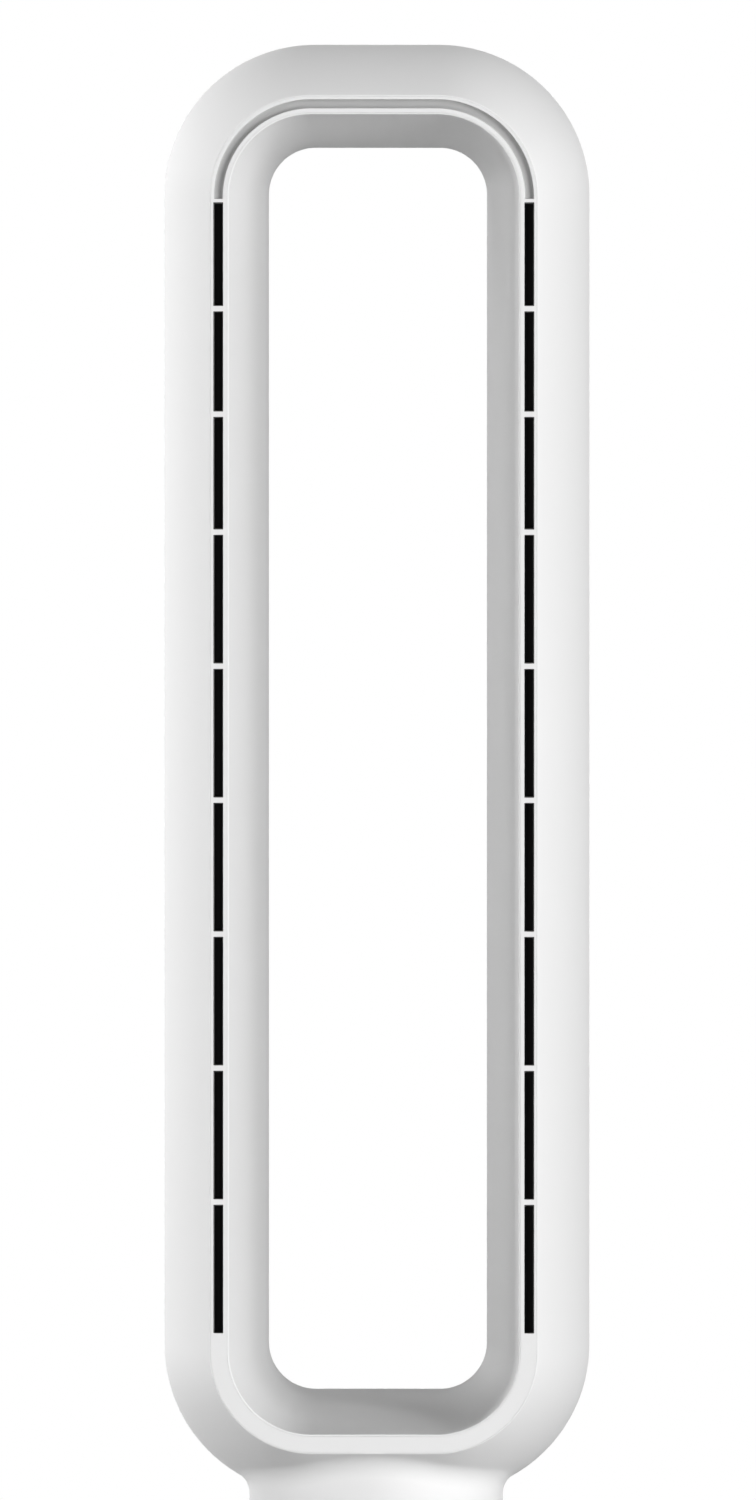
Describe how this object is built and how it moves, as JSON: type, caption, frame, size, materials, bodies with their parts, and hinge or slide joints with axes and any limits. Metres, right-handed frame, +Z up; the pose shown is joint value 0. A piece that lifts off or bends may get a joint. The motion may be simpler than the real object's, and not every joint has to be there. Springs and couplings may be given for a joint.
{
  "type": "bladeless tower fan",
  "caption": "White bladeless tower fan: tall rounded air loop with slots down both sides of its front, on a round body that swings on a weighted disc base.",
  "frame": {"origin": "centre of the base on the floor, on the axis of the neck", "axes": "+Z up, front of the fan faces -Y, +X to the right seen from the front"},
  "size_m": [0.24, 0.24, 0.95],
  "materials": {
    "shell_white": "smooth satin white moulded plastic",
    "guide_black": "matt black moulded plastic",
    "grille_white": "satin white moulded plastic",
    "screen_grey": "dark grey woven filter mesh",
    "inner_grey": "unpainted grey moulded plastic",
    "impeller_grey": "glass-filled dark grey plastic",
    "steel": "zinc-plated steel",
    "counterweight_steel": "dark painted steel plate",
    "rubber_black": "soft black rubber",
    "gear_nylon": "natural nylon",
    "board_green": "solder-masked board",
    "switch_black": "black component plastic",
    "window_black": "smoked gloss display window",
    "fascia_white": "satin white moulded plastic",
    "button_grey": "light grey moulded plastic",
    "copper": "enamelled copper wire",
    "magnet": "coated magnet",
    "washer_acetal": "white acetal"
  },
  "bodies": {
    "base": {"base_cover": "shell_white", "base_pan": "inner_grey", "base_screws": "steel", "hub_screws": "steel", "counterweight": "counterweight_steel", "rubber_feet": "rubber_black", "power_jack": "switch_black", "pivot_hub": "inner_grey", "fixed_gear": "gear_nylon", "thrust_washer": "washer_acetal", "retaining_washer": "steel", "retaining_screws": "steel"},
    "head": {"front_shell": "shell_white", "rear_shell": "shell_white", "inner_liner": "shell_white", "outlet_bezel": "shell_white", "left_air_guide": "guide_black", "right_air_guide": "guide_black", "upper_collar": "shell_white", "neck_screws": "steel", "inlet_grille": "grille_white", "dust_screen": "screen_grey", "housing_divider": "inner_grey", "main_board": "board_green", "board_screws": "steel", "lower_housing": "shell_white", "control_fascia": "fascia_white", "display_window": "window_black", "key_switches": "switch_black", "control_board": "board_green", "impeller_shroud": "inner_grey", "motor_bucket": "inner_grey", "motor_cap": "inner_grey", "lower_bearing": "steel", "upper_bearing": "steel", "motor_stator": "steel", "stator_coils": "copper", "vibration_mounts": "rubber_black", "neck_seal": "rubber_black", "turntable": "inner_grey", "turntable_screws": "steel", "swing_motor": "steel", "swing_motor_screws": "steel"},
    "rotor": {"impeller": "impeller_grey", "impeller_nut": "steel", "motor_shaft": "steel", "rotor_magnet": "magnet"},
    "pinion": {"swing_pinion": "gear_nylon", "swing_shaft": "steel"},
    "speed_down_key": {"speed_down_button": "button_grey"},
    "power_key": {"power_button": "button_grey"},
    "speed_up_key": {"speed_up_button": "button_grey"},
    "swing_key": {"swing_button": "button_grey"},
    "timer_key": {"timer_button": "button_grey"}
  },
  "joints": [
    {"name": "oscillation", "type": "hinge", "parent": "base", "child": "head", "pos_m": [0, 0, 0.035], "axis": [0, 0, 1], "range_deg": [-40, 40]},
    {"name": "impeller_spin", "type": "hinge", "parent": "head", "child": "rotor", "pos_m": [0, 0, 0.148], "axis": [0, 0, 1], "continuous": true},
    {"name": "pinion_spin", "type": "hinge", "parent": "head", "child": "pinion", "pos_m": [0, 0.039, 0.03], "axis": [0, 0, 1], "range_deg": [-134, 134]},
    {"name": "speed_down_press", "type": "slide", "parent": "head", "child": "speed_down_key", "axis": [0, 1, 0], "range_m": [0, 0.0008], "stiffness_N_per_m": 400},
    {"name": "power_press", "type": "slide", "parent": "head", "child": "power_key", "axis": [0, 1, 0], "range_m": [0, 0.0008], "stiffness_N_per_m": 400},
    {"name": "speed_up_press", "type": "slide", "parent": "head", "child": "speed_up_key", "axis": [0, 1, 0], "range_m": [0, 0.0008], "stiffness_N_per_m": 400},
    {"name": "swing_press", "type": "slide", "parent": "head", "child": "swing_key", "axis": [0, 1, 0], "range_m": [0, 0.0008], "stiffness_N_per_m": 400},
    {"name": "timer_press", "type": "slide", "parent": "head", "child": "timer_key", "axis": [0, 1, 0], "range_m": [0, 0.0008], "stiffness_N_per_m": 400}
  ],
  "couplings": [
    {"joint": "pinion_spin", "follows": "oscillation", "ratio": 3.3333}
  ]
}
